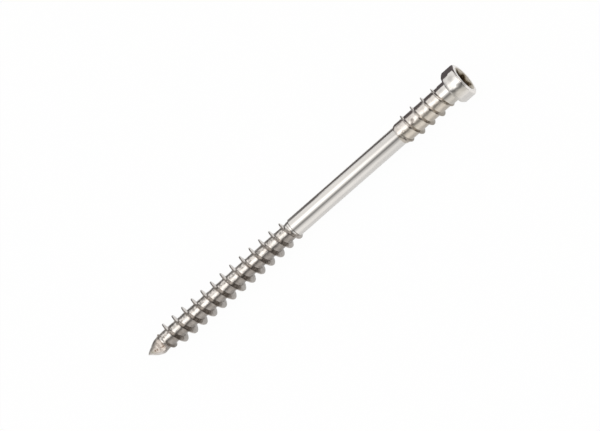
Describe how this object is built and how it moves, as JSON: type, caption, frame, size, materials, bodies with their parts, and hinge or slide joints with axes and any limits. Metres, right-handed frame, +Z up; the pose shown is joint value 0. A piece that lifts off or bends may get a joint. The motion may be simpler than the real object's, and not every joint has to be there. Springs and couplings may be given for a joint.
{
  "type": "self-tapping screw",
  "caption": "Stainless self-tapping screw with a small cylindrical six-lobe head, a short upper thread, a plain shank, a coarse lower thread and a slash-cut point.",
  "frame": {"origin": "on the table below the middle of the lying screw", "axes": "+X along the screw towards its head, +Z up from the table"},
  "size_m": [0.07, 0.006, 0.0061],
  "materials": {
    "stainless": "bright as rolled, faintly warm"
  },
  "bodies": {
    "root": {"screw": "stainless"}
  },
  "joints": []
}
